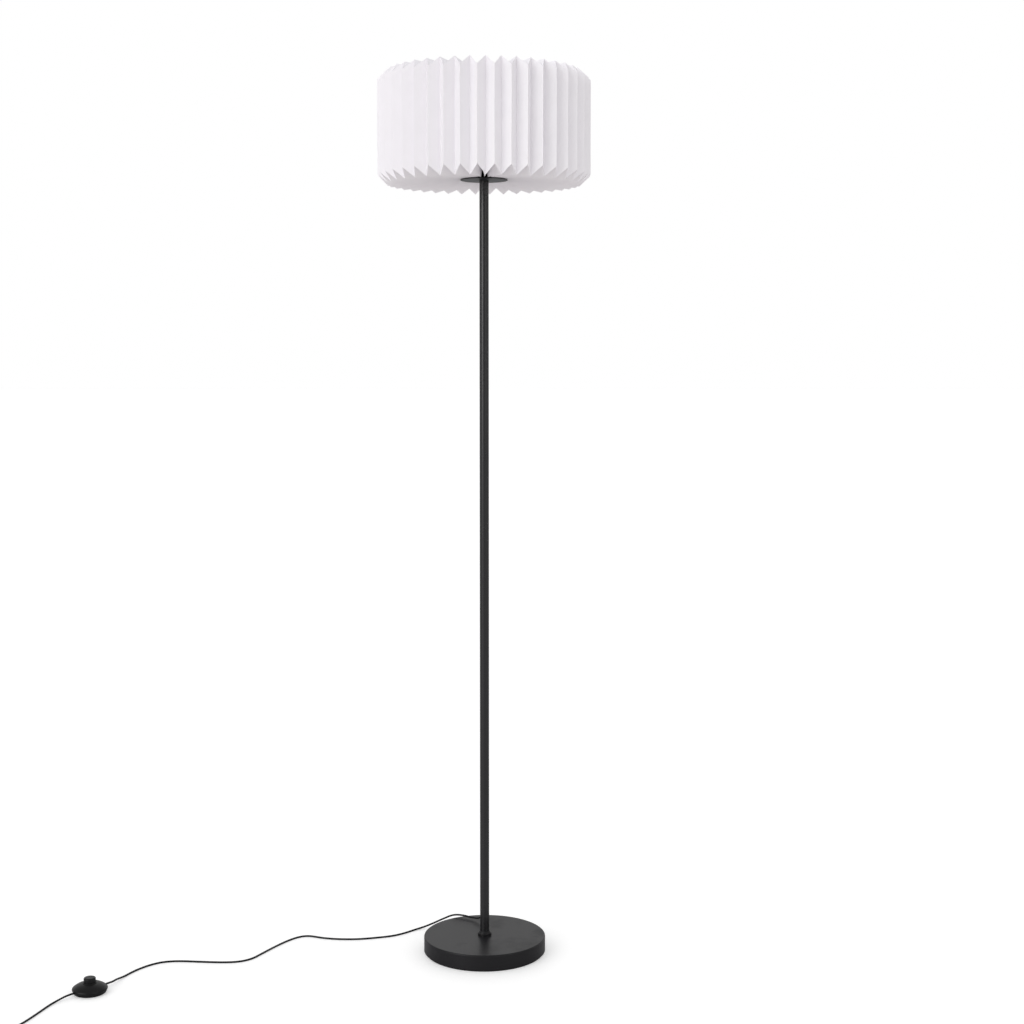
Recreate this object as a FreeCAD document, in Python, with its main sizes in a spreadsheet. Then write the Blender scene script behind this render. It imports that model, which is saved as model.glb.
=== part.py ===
"""A floor lamp with a pleated paper lantern on a slim pole.

The frame: +Z is up, the origin is on the floor under the pole's axis, and the lamp's
front faces -Y. Every driving size is a cell of the Sizes sheet, in millimetres.
"""

import FreeCAD
import Part
import Sketcher
import math
import os

from FreeCAD import Placement, Rotation, Vector

UP = Vector(0, 0, 1)
WHOLE_TURN = 2 * math.pi

os.makedirs("parts", exist_ok=True)
doc = FreeCAD.newDocument("PaperLanternFloorLamp")

# ---------------------------------------------------------------- driving sizes

SIZES = {
    # base
    "base_radius": 106.0,
    "base_top": 28.5,
    "cover_wall": 1.2,
    "cover_edge": 1.8,
    "pad_thickness": 3.0,
    "pad_inset": 3.0,
    "weight_gap": 0.3,
    "recess_radius": 17.0,
    "recess_depth": 12.0,
    "collar_radius": 12.0,
    "collar_height": 7.5,
    "collar_flange": 4.5,
    # pole and its screwed joints
    "pole_radius": 8.0,
    "pole_wall": 1.0,
    "section_length": 437.7,
    "stud_radius": 5.0,
    "stud_bore": 3.5,
    "stud_grip": 11.0,
    "insert_length": 14.0,
    "thread_gap": 0.05,
    "loose_gap": 0.3,
    "nut_across": 17.0,
    "nut_thickness": 6.0,
    "washer_radius": 12.0,
    "washer_thickness": 2.0,
    # cord outlet at the back of the pole
    "cord_radius": 1.6,
    "outlet_height": 55.0,
    "outlet_radius": 4.0,
    "relief_flange": 5.5,
    "relief_length": 20.0,
    "relief_tip": 2.6,
    "lead_bend": 9.5,
    "lead_offset": 3.5,
    # lampholder and bulb
    "disc_radius": 40.5,
    "disc_thickness": 1.5,
    "locknut_thickness": 3.0,
    "holder_radius": 19.5,
    "holder_wall": 1.8,
    "holder_cap_height": 20.0,
    "holder_height": 52.0,
    "sleeve_radius": 13.6,
    "sleeve_wall": 0.4,
    "bulb_radius": 30.0,
    "bulb_length": 107.0,
    "bulb_wall": 1.2,
    "bulb_cap_length": 24.0,
    "bulb_cap_radius": 13.0,
    # pleated shade
    "pleat_count": 41.0,
    "shade_radius": 182.5,
    "pleat_depth": 16.5,
    "shade_height": 191.0,
    "tuck_height": 16.0,
    "shade_drop": 8.1,
    "crown_dip": 6.0,
    "hole_radius": 35.0,
    "fan_depth": 20.5,
    "paper": 0.4,
    "seat_gap": 0.3,
    "ring_width": 7.0,
    "ring_thickness": 1.2,
    # foot switch
    "switch_radius": 28.75,
    "switch_ring": 7.0,
    "switch_height": 17.5,
    "switch_wall": 2.0,
    "button_radius": 9.75,
    "button_rise": 8.0,
    "button_travel": 3.5,
    "port_height": 6.5,
    # plug and tie
    "plug_length": 34.0,
    "plug_width": 35.0,
    "plug_height": 14.0,
    "pin_radius": 2.0,
    "pin_length": 19.0,
    "pin_spacing": 19.0,
}

PLEAT_PHASE = 6.3  # degrees from the front to the first ridge, turning to +X
SWITCH_PLACE = Vector(-643.4, -197.0, 0)
SWITCH_HEADING = 45.0  # degrees from +X to the side that faces the lamp

sheet = doc.addObject("Spreadsheet::Sheet", "Sizes")
for row, (alias, number) in enumerate(SIZES.items(), start=1):
    sheet.set(f"A{row}", alias)
    sheet.set(f"B{row}", str(number))
    sheet.setAlias(f"B{row}", alias)
doc.recompute()


class Size:
    """A length with the sheet expression that it comes from."""

    def __init__(self, number, text):
        self.number = float(number)
        self.text = text

    @staticmethod
    def of(other):
        return other if isinstance(other, Size) else Size(other, repr(float(other)))

    def join(self, other, sign, number):
        return Size(number, f"({self.text} {sign} {Size.of(other).text})")

    def __add__(self, other):
        return self.join(other, "+", self.number + Size.of(other).number)

    def __sub__(self, other):
        return self.join(other, "-", self.number - Size.of(other).number)

    def __mul__(self, other):
        return self.join(other, "*", self.number * Size.of(other).number)

    def __truediv__(self, other):
        return self.join(other, "/", self.number / Size.of(other).number)

    def __neg__(self):
        return Size(-self.number, f"(-1 * {self.text})")


def size(alias):
    """The sheet's cell of that alias."""
    return Size(sheet.get(alias), f"Sizes.{alias}")


# ---------------------------------------------------------------- ways of making a piece

pieces = []  # the objects that are written, in order


def keep(piece, label):
    """Names a piece and puts it on the list of what is written."""
    piece.Label = label
    pieces.append(piece)
    return piece


def plane_of(body, role):
    return next(item for item in body.Origin.OriginFeatures if item.Role == role)


def add_sketch(body, role):
    sketch = body.newObject("Sketcher::SketchObject", f"{body.Name}_outline")
    sketch.AttachmentSupport = [(plane_of(body, role), "")]
    sketch.MapMode = "FlatFace"
    return sketch


def pin_point(sketch, geometry, end, across, along):
    """Fixes a sketch point at two sheet lengths from the sketch's origin."""
    for kind, length in (("DistanceX", across), ("DistanceY", along)):
        rule = sketch.addConstraint(
            Sketcher.Constraint(kind, -1, 1, geometry, end, length.number)
        )
        sketch.setExpression(f"Constraints[{rule}]", length.text)


def draw_outline(sketch, corners):
    """Draws a closed outline through corners given as (across, along[, radius]).

    A radius makes the side that reaches that corner an arc: a positive one turns left.
    """
    spots = [(Size.of(c[0]), Size.of(c[1])) for c in corners]
    ends = [Vector(a.number, b.number, 0) for a, b in spots]
    start_of, end_of = [], []
    for index, corner in enumerate(corners):
        start, end = ends[index - 1], ends[index]
        if len(corner) < 3:
            side = sketch.addGeometry(Part.LineSegment(start, end))
            start_of.append((side, 1))
            end_of.append((side, 2))
            continue
        bend = Size.of(corner[2])
        left = bend.number > 0
        radius = abs(bend.number)
        chord = end - start
        across = Vector(-chord.y, chord.x, 0).normalize() * (1 if left else -1)
        rise = math.sqrt(max(radius**2 - (chord.Length / 2) ** 2, 0))
        centre = (start + end) * 0.5 + across * rise
        first, last = (start, end) if left else (end, start)
        begin = math.atan2(first.y - centre.y, first.x - centre.x)
        finish = math.atan2(last.y - centre.y, last.x - centre.x)
        if finish < begin:
            finish += WHOLE_TURN
        circle = Part.Circle(centre, UP, radius)
        side = sketch.addGeometry(Part.ArcOfCircle(circle, begin, finish))
        start_of.append((side, 1 if left else 2))
        end_of.append((side, 2 if left else 1))
        rule = sketch.addConstraint(Sketcher.Constraint("Radius", side, radius))
        sketch.setExpression(f"Constraints[{rule}]", bend.text if left else (-bend).text)
    for index in range(len(corners)):
        following = (index + 1) % len(corners)
        sketch.addConstraint(
            Sketcher.Constraint("Coincident", *end_of[index], *start_of[following])
        )
        pin_point(sketch, *end_of[index], *spots[index])


def new_body(label):
    return keep(doc.addObject("PartDesign::Body", label), label)


def turned(label, outline):
    """A body turned about +Z from its (radius, height) outline."""
    body = new_body(label)
    sketch = add_sketch(body, "XZ_Plane")
    draw_outline(sketch, outline)
    spin = body.newObject("PartDesign::Revolution", f"{label}_turn")
    spin.Profile = sketch
    spin.ReferenceAxis = (sketch, ["V_Axis"])
    spin.Angle = 360
    return body


def ring_outline(inner, outer, low, high):
    return [(inner, low), (outer, low), (outer, high), (inner, high)]


def turned_ring(label, inner, outer, low, high):
    return turned(label, ring_outline(inner, outer, low, high))


def add_circle(sketch, radius, across=0, along=0):
    spot = Size.of(across), Size.of(along)
    centre = Vector(spot[0].number, spot[1].number, 0)
    side = sketch.addGeometry(Part.Circle(centre, UP, radius.number))
    pin_point(sketch, side, 3, *spot)
    rule = sketch.addConstraint(Sketcher.Constraint("Radius", side, radius.number))
    sketch.setExpression(f"Constraints[{rule}]", radius.text)


def pad(body, sketch, height, low=0, reverse=False):
    """Raises a sketch by a height, from a level along the sketch's normal."""
    feature = body.newObject("PartDesign::Pad", f"{body.Name}_pad")
    feature.Profile = sketch
    feature.Reversed = reverse
    feature.setExpression("Length", Size.of(height).text)
    sketch.setExpression("AttachmentOffset.Base.z", Size.of(low).text)
    return feature


def pocket(body, sketch, depth, low=0, reverse=False):
    """Cuts a sketch through a depth, from a level along the sketch's normal."""
    feature = body.newObject("PartDesign::Pocket", f"{body.Name}_pocket")
    feature.Profile = sketch
    feature.Reversed = reverse
    feature.setExpression("Length", Size.of(depth).text)
    sketch.setExpression("AttachmentOffset.Base.z", Size.of(low).text)
    return feature


def cylinder(name, radius, height, low=0):
    """A plain rod standing on a level."""
    rod = doc.addObject("Part::Cylinder", name)
    rod.setExpression("Radius", Size.of(radius).text)
    rod.setExpression("Height", Size.of(height).text)
    rod.setExpression("Placement.Base.z", Size.of(low).text)
    return rod


def group(label, members):
    """Like pieces that share one node, as separate solids."""
    bundle = keep(doc.addObject("Part::Compound", label), label)
    bundle.Links = members
    return bundle


def stand_in_place(body, place, heading):
    """Puts a piece that was modelled about the origin where it lies."""
    body.Placement = Placement(place, Rotation(UP, heading))


# ---------------------------------------------------------------- cords


def round_corners(points, limit=None):
    """Edges of a path with an arc at each inner point, as large as its runs allow."""
    points = [Vector(*point) for point in points]
    edges, radii = [], []
    here = points[0]
    for before, corner, after in zip(points, points[1:], points[2:]):
        arriving = (corner - before).normalize()
        leaving = (after - corner).normalize()
        half_turn = arriving.getAngle(leaving) / 2
        run = min((corner - before).Length, (after - corner).Length)
        radius = 0.45 * run / math.tan(half_turn)
        if limit:
            radius = min(radius, limit)
        setback = radius * math.tan(half_turn)
        start = corner - arriving * setback
        end = corner + leaving * setback
        inward = (leaving - arriving).normalize()
        middle = corner + inward * (radius / math.cos(half_turn) - radius)
        edges.append(Part.LineSegment(here, start).toShape())
        edges.append(Part.Arc(start, middle, end).toShape())
        radii.append(radius)
        here = end
    edges.append(Part.LineSegment(here, points[-1]).toShape())
    return edges, radii


def tube_along(edges, radius):
    """A round solid swept along a path of lines and arcs."""
    path = Part.Wire(edges)
    start = edges[0].Vertexes[0].Point
    along = edges[0].tangentAt(edges[0].FirstParameter)
    section = Part.Wire(Part.Circle(start, along, radius).toShape())
    return path.makePipeShell([section], True, False)


def cord(label, points, limit=None):
    """A stretch of cord as a tube, with its length, tightest bend and volume printed."""
    radius = size("cord_radius").number
    edges, radii = round_corners(points, limit)
    solid = tube_along(edges, radius)
    length = sum(edge.Length for edge in edges)
    exact = math.pi * radius**2 * length
    print(
        f"{label}: length {length:.1f}, tightest bend {min(radii):.1f},"
        f" radii {[round(r) for r in radii]}, volume ratio {solid.Volume / exact:.4f}"
    )
    piece = doc.addObject("Part::Feature", label)
    piece.Shape = solid
    return keep(piece, label)


# ---------------------------------------------------------------- base

base_top = size("base_top")
base_radius = size("base_radius")
cover_wall = size("cover_wall")
pad_thickness = size("pad_thickness")
stud_radius = size("stud_radius")
stud_bore = size("stud_bore")
loose = size("loose_gap")
snug = size("thread_gap")

stud_hole = stud_radius + loose
recess_ceiling = pad_thickness + size("recess_depth")


def make_base_cover():
    edge = size("cover_edge")
    under = base_top - cover_wall
    inner = base_radius - cover_wall
    inner_edge = edge - cover_wall
    return turned(
        "base_cover",
        [
            (stud_hole, under),
            (base_radius - edge, under),
            (inner, base_top - edge, -inner_edge),
            (inner, pad_thickness),
            (base_radius, pad_thickness),
            (base_radius, base_top - edge),
            (base_radius - edge, base_top, edge),
            (stud_hole, base_top),
        ],
    )


def make_base_weight():
    gap = size("weight_gap")
    outer = base_radius - cover_wall - gap
    ceiling = base_top - cover_wall
    bevel = size("cover_edge")
    return turned(
        "base_weight",
        [
            (stud_hole, recess_ceiling),
            (size("recess_radius"), recess_ceiling),
            (size("recess_radius"), pad_thickness),
            (outer, pad_thickness),
            (outer, ceiling - bevel),
            (outer - bevel, ceiling),
            (stud_hole, ceiling),
        ],
    )


def make_base_pad():
    body = new_body("base_pad")
    sketch = add_sketch(body, "XY_Plane")
    add_circle(sketch, base_radius - size("pad_inset"))
    pad(body, sketch, pad_thickness)
    return body


def make_pole_collar():
    bore = size("pole_radius") + loose / 2
    outer = size("collar_radius")
    shoulder = base_top + size("collar_flange")
    crown = base_top + size("collar_height")
    lip = bore + 0.8
    return turned(
        "pole_collar",
        [
            (bore, base_top),
            (outer, base_top),
            (outer, shoulder - 0.8),
            (outer - 0.8, shoulder, 0.8),
            (lip, crown),
            (bore, crown),
        ],
    )


def make_foot_fixings():
    nut_top = recess_ceiling - size("washer_thickness")
    nut_low = nut_top - size("nut_thickness")
    turned_ring("foot_washer", stud_hole, size("washer_radius"), nut_top, recess_ceiling)
    body = new_body("foot_nut")
    sketch = add_sketch(body, "XY_Plane")
    draw_outline(sketch, hexagon(size("nut_across")))
    add_circle(sketch, stud_radius + snug)
    pad(body, sketch, size("nut_thickness"), nut_low)
    low = nut_low - 2
    turned_ring("foot_stud", stud_bore, stud_radius, low, base_top + size("stud_grip"))


def hexagon(across):
    """The six corners of a nut of that width across its flats."""
    reach = across / math.sqrt(3)
    return [
        (reach * round(math.cos(k * math.pi / 3), 9), reach * round(math.sin(k * math.pi / 3), 9))
        for k in range(6)
    ]


# ---------------------------------------------------------------- pole

section = size("section_length")
pole_radius = size("pole_radius")
pole_bore = pole_radius - size("pole_wall")
pole_top = base_top + section * 3
SECTION_NAMES = ("pole_lower", "pole_middle", "pole_upper")


def make_pole_section(label, low):
    body = new_body(label)
    sketch = add_sketch(body, "XY_Plane")
    add_circle(sketch, pole_radius)
    add_circle(sketch, pole_bore)
    pad(body, sketch, section, low)
    return body


def cut_cord_outlet(body):
    """The hole in the back wall that the cord leaves by."""
    sketch = add_sketch(body, "XZ_Plane")
    add_circle(sketch, size("outlet_radius"), 0, size("outlet_height"))
    doc.recompute()
    before = body.Shape.Volume
    pocket(body, sketch, pole_radius + 1, reverse=False)
    doc.recompute()
    print(f"cord outlet takes {before - body.Shape.Volume:.1f} of the pole's volume")


def make_pole():
    for index, label in enumerate(SECTION_NAMES):
        body = make_pole_section(label, base_top + section * index)
        if index == 0:
            cut_cord_outlet(body)


def threaded_insert(name, low):
    insert = doc.addObject("Part::Cut", name)
    length = size("insert_length")
    insert.Base = cylinder(f"{name}_rod", pole_bore - snug, length, low)
    insert.Tool = cylinder(f"{name}_bore", stud_radius + snug, length, low)
    return insert


def make_pole_joints():
    length = size("insert_length")
    inserts, studs = [], []
    for index in range(3):
        low = base_top + section * index
        inserts.append(threaded_insert(f"insert_low_{index}", low + 0.5))
        inserts.append(threaded_insert(f"insert_high_{index}", low + section - length - 0.5))
    group("pole_inserts", inserts)
    grip = size("stud_grip")
    for index in (1, 2):
        name = f"joint_stud_{index}"
        low = base_top + section * index - grip
        stud = doc.addObject("Part::Cut", name)
        stud.Base = cylinder(f"{name}_rod", stud_radius, grip * 2, low)
        stud.Tool = cylinder(f"{name}_bore", stud_bore, grip * 2, low)
        studs.append(stud)
    group("pole_joint_studs", studs)


def make_cord_relief():
    """The tapered sleeve in the outlet, turned about its own axis and laid along +Y."""
    face = pole_radius + 0.1
    cord_hole = size("cord_radius") + snug
    tip = pole_radius + size("relief_length")
    body = turned(
        "cord_relief",
        [
            (cord_hole, pole_radius - 2.0),
            (size("outlet_radius") - snug, pole_radius - 2.0),
            (size("outlet_radius") - snug, face),
            (size("relief_flange"), face),
            (size("relief_flange"), face + 1.6),
            (size("relief_flange") - 1.6, face + 2.4),
            (size("relief_tip"), tip),
            (cord_hole, tip),
        ],
    )
    body.Placement = Placement(
        Vector(0, 0, size("outlet_height").number), Rotation(Vector(1, 0, 0), -90)
    )
    body.setExpression("Placement.Base.z", size("outlet_height").text)
    return body


# ---------------------------------------------------------------- lampholder and bulb

disc_top = pole_top + size("disc_thickness")
holder_low = disc_top + size("locknut_thickness")
holder_joint = holder_low + size("holder_cap_height")
holder_top = holder_low + size("holder_height")
holder_radius = size("holder_radius")
holder_wall = size("holder_wall")
sleeve_radius = size("sleeve_radius")
sleeve_wall = size("sleeve_wall")
bulb_cap_radius = size("bulb_cap_radius")
bulb_low = holder_top + 0.4 - size("bulb_cap_length")
lead_top = holder_low + 12


def make_shade_support():
    hole = stud_radius + snug
    edge = size("disc_thickness") / 3
    radius = size("disc_radius")
    turned(
        "support_disc",
        [
            (hole, pole_top),
            (radius - edge, pole_top),
            (radius, pole_top + edge, edge),
            (radius, disc_top - edge),
            (radius - edge, disc_top, edge),
            (hole, disc_top),
        ],
    )
    body = new_body("disc_locknut")
    sketch = add_sketch(body, "XY_Plane")
    draw_outline(sketch, hexagon(size("nut_across")))
    add_circle(sketch, hole)
    pad(body, sketch, size("locknut_thickness"), disc_top)
    low = pole_top - size("stud_grip")
    turned_ring("top_stud", stud_bore, stud_radius, low, holder_low + 8)


def make_lampholder():
    neck = stud_radius + snug
    inside = holder_radius - holder_wall
    turned(
        "holder_cap",
        [
            (neck, holder_low),
            (neck + 5, holder_low),
            (holder_radius, holder_low + 8, 16),
            (holder_radius, holder_joint),
            (inside, holder_joint),
            (inside, holder_low + 9),
            (neck + 3, holder_low + 3),
            (neck + 3, holder_low + 8),
            (neck, holder_low + 8),
        ],
    )
    rib = holder_radius + 0.9
    turned(
        "holder_shell",
        [
            (inside, holder_joint),
            (holder_radius, holder_joint),
            (holder_radius, holder_joint + 6),
            (rib, holder_joint + 7),
            (rib, holder_joint + 11),
            (holder_radius, holder_joint + 12),
            (holder_radius, holder_top - 3),
            (holder_radius - 3, holder_top, 3),
            (sleeve_radius + sleeve_wall + 0.6, holder_top),
            (sleeve_radius + sleeve_wall + 0.6, holder_top - 2),
            (inside, holder_top - 4),
        ],
    )
    core_top = bulb_low - 4
    turned(
        "holder_core",
        [
            (3, lead_top + 1),
            (inside - 0.3, lead_top + 1),
            (inside - 0.3, core_top),
            (5, core_top),
            (5, core_top - 2),
            (3, core_top - 2),
        ],
    )
    turned_ring(
        "holder_sleeve", sleeve_radius, sleeve_radius + sleeve_wall, core_top + 0.2, holder_top - 1
    )
    turned_ring("holder_centre_contact", 1.2, 4.6, core_top - 1.8, core_top + 1.5)
    screws = []
    for side in (-1, 1):
        screw = cylinder(f"terminal_screw_{side + 1}", 1.6, 5, core_top + 0.1)
        screw.Placement.Base.x = side * 9.0
        screws.append(screw)
    group("holder_terminal_screws", screws)


def make_bulb():
    cap_top = bulb_low + size("bulb_cap_length")
    cap_wall = sleeve_wall
    turned(
        "bulb_screw_cap",
        [
            (bulb_cap_radius - cap_wall, bulb_low + 3),
            (bulb_cap_radius, bulb_low + 3),
            (bulb_cap_radius, cap_top),
            (bulb_cap_radius - cap_wall, cap_top),
        ],
    )
    turned(
        "bulb_cap_insulator",
        [
            (2.6, bulb_low + 0.3),
            (5, bulb_low + 0.3),
            (bulb_cap_radius - cap_wall - 0.1, bulb_low + 3),
            (bulb_cap_radius - cap_wall - 0.1, bulb_low + 6),
            (2.6, bulb_low + 6),
        ],
    )
    turned("bulb_contact", [(0, bulb_low), (2.5, bulb_low), (2.5, bulb_low + 4), (0, bulb_low + 4)])
    radius = size("bulb_radius")
    wall = size("bulb_wall")
    bulb_top = bulb_low + size("bulb_length")
    centre = bulb_top - radius
    foot = cap_top + 0.2
    skirt = bulb_cap_radius + 1.5
    split = centre - radius * 0.6
    waist = radius * 0.8
    turned(
        "bulb_housing",
        [
            (bulb_cap_radius - 2, foot),
            (skirt, foot),
            (waist, split - 0.1, 60),
            (waist - wall, split - 0.1),
            (bulb_cap_radius - 2, foot + 4, -62),
        ],
    )
    turned(
        "bulb_globe",
        [
            (waist - wall, split),
            (waist, split),
            (radius, centre, radius),
            (0, bulb_top, radius),
            (0, bulb_top - wall),
            (radius - wall, centre, -(radius - wall)),
        ],
    )
    turned_ring("bulb_led_board", 2, waist - wall - 0.4, split - 2.2, split - 0.8)


# ---------------------------------------------------------------- pleated shade

disc_seat = disc_top + size("seat_gap")


def zigzag(ridge_radius, ridge_level, valley_radius, valley_level):
    """Where one ring crosses the folds: a ridge, a valley and so on, all the way round."""
    count = int(round(size("pleat_count").number))
    corners = []
    for fold in range(2 * count):
        is_ridge = fold % 2 == 0
        turn = math.radians(PLEAT_PHASE - 90) + fold * math.pi / count
        radius = ridge_radius if is_ridge else valley_radius
        level = ridge_level if is_ridge else valley_level
        corners.append(Vector(radius * math.cos(turn), radius * math.sin(turn), level))
    return corners


def pleat_slant(radius, depth):
    """How much a fold moves when the paper's face moves by one, at that radius."""
    half_pitch = math.pi * radius / size("pleat_count").number
    return math.hypot(half_pitch, depth) / half_pitch


def shade_skin(inset):
    """The five rings of corners of one face of the paper, from the crown's hole down.

    inset is the paper's thickness for the inner face and 0 for the outer one.
    """
    outer = size("shade_radius").number
    depth = size("pleat_depth").number
    tuck = size("tuck_height").number
    fan = size("fan_depth").number
    hole = size("hole_radius").number
    seat_edge = size("disc_radius").number
    seat = disc_seat.number
    low = seat - size("shade_drop").number - size("disc_thickness").number
    high = low + size("shade_height").number
    crown = high - size("crown_dip").number
    valley = outer - depth
    side = inset * pleat_slant(outer - depth / 2, depth)
    rim = inset * pleat_slant(valley, tuck)
    core = inset * pleat_slant(hole, fan)
    seated = inset * pleat_slant(seat_edge, fan)
    wall = (outer - side, valley - side)
    return [
        zigzag(hole, crown - fan - core, hole, crown - core),
        zigzag(wall[0], high - tuck - rim, wall[1], high - rim),
        zigzag(wall[0], low + tuck + rim, wall[1], low + rim),
        zigzag(seat_edge, seat + fan + seated, seat_edge, seat + seated),
        zigzag(hole, seat + fan + core, hole, seat + core),
    ]


def flat_face(*corners):
    return Part.Face(Part.makePolygon(list(corners) + [corners[0]]))


def bent_panel(ridge, valley, ridge_next, valley_next, from_ridge):
    """A panel that leaves the flat: two faces that meet along one of its diagonals."""
    if from_ridge:
        halves = (ridge, ridge_next, valley_next), (ridge, valley_next, valley)
    else:
        halves = (valley, ridge_next, valley_next), (ridge, ridge_next, valley)
    return [flat_face(*half) for half in halves]


def band_faces(ring, following, from_ridge):
    """The faces between two rings, panel by panel."""
    faces = []
    for fold in range(len(ring)):
        beside = (fold + 1) % len(ring)
        ridge, valley = (fold, beside) if fold % 2 == 0 else (beside, fold)
        corners = ring[ridge], ring[valley], following[ridge], following[valley]
        faces += bent_panel(*corners, from_ridge)
    return faces


def folded_sheet(label, first, last, from_ridge):
    """A closed sheet between two of the shade's rings."""
    outer = shade_skin(0.0)[first : last + 1]
    inner = shade_skin(size("paper").number)[first : last + 1]
    faces = band_faces(outer[0], inner[0], True) + band_faces(outer[-1], inner[-1], True)
    for rings in (outer, inner):
        for ring, following in zip(rings, rings[1:]):
            faces += band_faces(ring, following, from_ridge)
    shell = Part.makeShell(faces)
    shell.sewShape()
    solid = Part.Solid(Part.Shell(shell.Faces))
    if solid.Volume < 0:
        solid.reverse()
    piece = doc.addObject("Part::Feature", label)
    piece.Shape = solid
    print(f"{label}: volume {solid.Volume:.0f}, closed {solid.isClosed()}")
    return keep(piece, label)


def make_paper_shade():
    """A pleated wall, and at each end a fan that is tucked in and gathered at a hole."""
    folded_sheet("paper_crown", 0, 1, False)
    folded_sheet("paper_wall", 1, 2, True)
    folded_sheet("paper_foot", 2, 4, True)


def make_shade_rings():
    """Card rings inside the shade that hold the gathered pleats round the holes."""
    hole = size("hole_radius")
    width = size("ring_width")
    thick = size("ring_thickness")
    reach = hole + width
    fan = size("fan_depth")
    high = disc_seat - size("shade_drop") - size("disc_thickness") + size("shade_height")
    slack = size("paper") * 9
    top = high - size("crown_dip") - fan - slack
    low = disc_seat + fan + slack + 0.2
    turned_ring("shade_crown_ring", hole, reach, top - thick, top)
    turned_ring("shade_foot_ring", hole, size("disc_radius"), low, low + thick)


# ---------------------------------------------------------------- foot switch

switch_radius = size("switch_radius")
switch_ring = size("switch_ring")
switch_height = size("switch_height")
switch_wall = size("switch_wall")
button_radius = size("button_radius")
button_top = switch_height + size("button_rise")
port_height = size("port_height")
port_reach = switch_radius - 0.95
lip_depth = 3.2
shell_floor = Size.of(2.8)
block_top = shell_floor + 5.4
button_ceiling = button_top - 3.2


def dome_outline():
    """The upper shell's section: a flattened dome that rises to the button's lip."""
    hole = button_radius + loose
    lip = hole + 1.6
    rim = switch_radius
    return [
        (hole, switch_height - lip_depth),
        (lip, switch_height - lip_depth),
        (rim - switch_wall, switch_ring + 0.6, -34),
        (rim - switch_wall, switch_ring),
        (rim, switch_ring),
        (rim - 1.6, switch_ring + 2.6, 3),
        (lip + 1.0, switch_height - 0.9, 34),
        (lip, switch_height, -3),
        (hole, switch_height),
    ]


def cut_cord_ports(body):
    """The two holes that the cord goes in and out by, on the shell's own X axis."""
    sketch = add_sketch(body, "YZ_Plane")
    add_circle(sketch, size("cord_radius") + loose, 0, port_height)
    doc.recompute()
    reach = switch_radius + 1
    cut = pocket(body, sketch, reach * 2)
    cut.Midplane = True


def make_switch_shells():
    cover = turned("switch_cover", dome_outline())
    foot = switch_radius - 5
    base = turned(
        "switch_base",
        [
            (0, 0),
            (foot, 0),
            (foot + 2.6, 1.4, 4),
            (switch_radius, switch_ring - 0.1),
            (switch_radius - switch_wall, switch_ring - 0.1),
            (foot, 2.6),
            (0, 2.6),
        ],
    )
    for shell in (cover, base):
        cut_cord_ports(shell)
    return cover, base


def make_switch_inside():
    block = new_body("switch_block")
    sketch = add_sketch(block, "XY_Plane")
    half_long, half_wide = Size.of(9.0), Size.of(6.5)
    draw_outline(
        sketch,
        [
            (-half_long, -half_wide),
            (half_long, -half_wide),
            (half_long, half_wide),
            (-half_long, half_wide),
        ],
    )
    pad(block, sketch, block_top - shell_floor, shell_floor)
    spring_top = button_ceiling - size("button_travel") - loose
    spring = turned_ring("switch_spring", 4.6, 5.4, block_top + 0.1, spring_top)
    return block, spring


def make_switch_button():
    edge = 2.2
    flange = button_radius + 1.4
    flange_top = switch_height - lip_depth - 0.2
    flange_low = flange_top - 1.5
    cavity = button_radius - 2.2
    return turned(
        "switch_button",
        [
            (cavity, flange_low),
            (flange, flange_low),
            (flange, flange_top),
            (button_radius, flange_top),
            (button_radius, button_top - edge),
            (button_radius - edge, button_top, edge),
            (0, button_top),
            (0, button_ceiling),
            (cavity, button_ceiling),
        ],
    )


def make_switch_clamps():
    clamps, screws, leads = [], [], []
    lead_top_level = port_height + size("cord_radius")
    for side in (-1, 1):
        clamp = doc.addObject("Part::Box", f"clamp_{side + 1}")
        clamp.Length, clamp.Width, clamp.Height = 4, 9, 1.6
        clamp.Placement.Base = Vector(side * 15.5 - 2, -4.5, 0)
        clamp.setExpression("Placement.Base.z", (lead_top_level + 0.1).text)
        clamps.append(clamp)
        for hand in (-1, 1):
            screw = cylinder(
                f"clamp_screw_{side + 1}_{hand + 1}", 1.1, lead_top_level - shell_floor, shell_floor
            )
            screw.Placement.Base.x = side * 15.5
            screw.Placement.Base.y = hand * 3.2
            screws.append(screw)
        lead = cylinder(f"lead_{side + 1}", size("cord_radius"), port_reach - 9.3, port_height)
        lead.Placement = Placement(
            Vector(side * 9.3, 0, port_height.number), Rotation(Vector(0, 1, 0), side * 90)
        )
        leads.append(lead)
    return (
        group("switch_cord_clamps", clamps),
        group("switch_clamp_screws", screws),
        group("switch_leads", leads),
    )


def make_foot_switch():
    made = [*make_switch_shells(), *make_switch_inside(), make_switch_button()]
    made += make_switch_clamps()
    for piece in made:
        stand_in_place(piece, SWITCH_PLACE, SWITCH_HEADING)


# ---------------------------------------------------------------- cord on the floor

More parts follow.
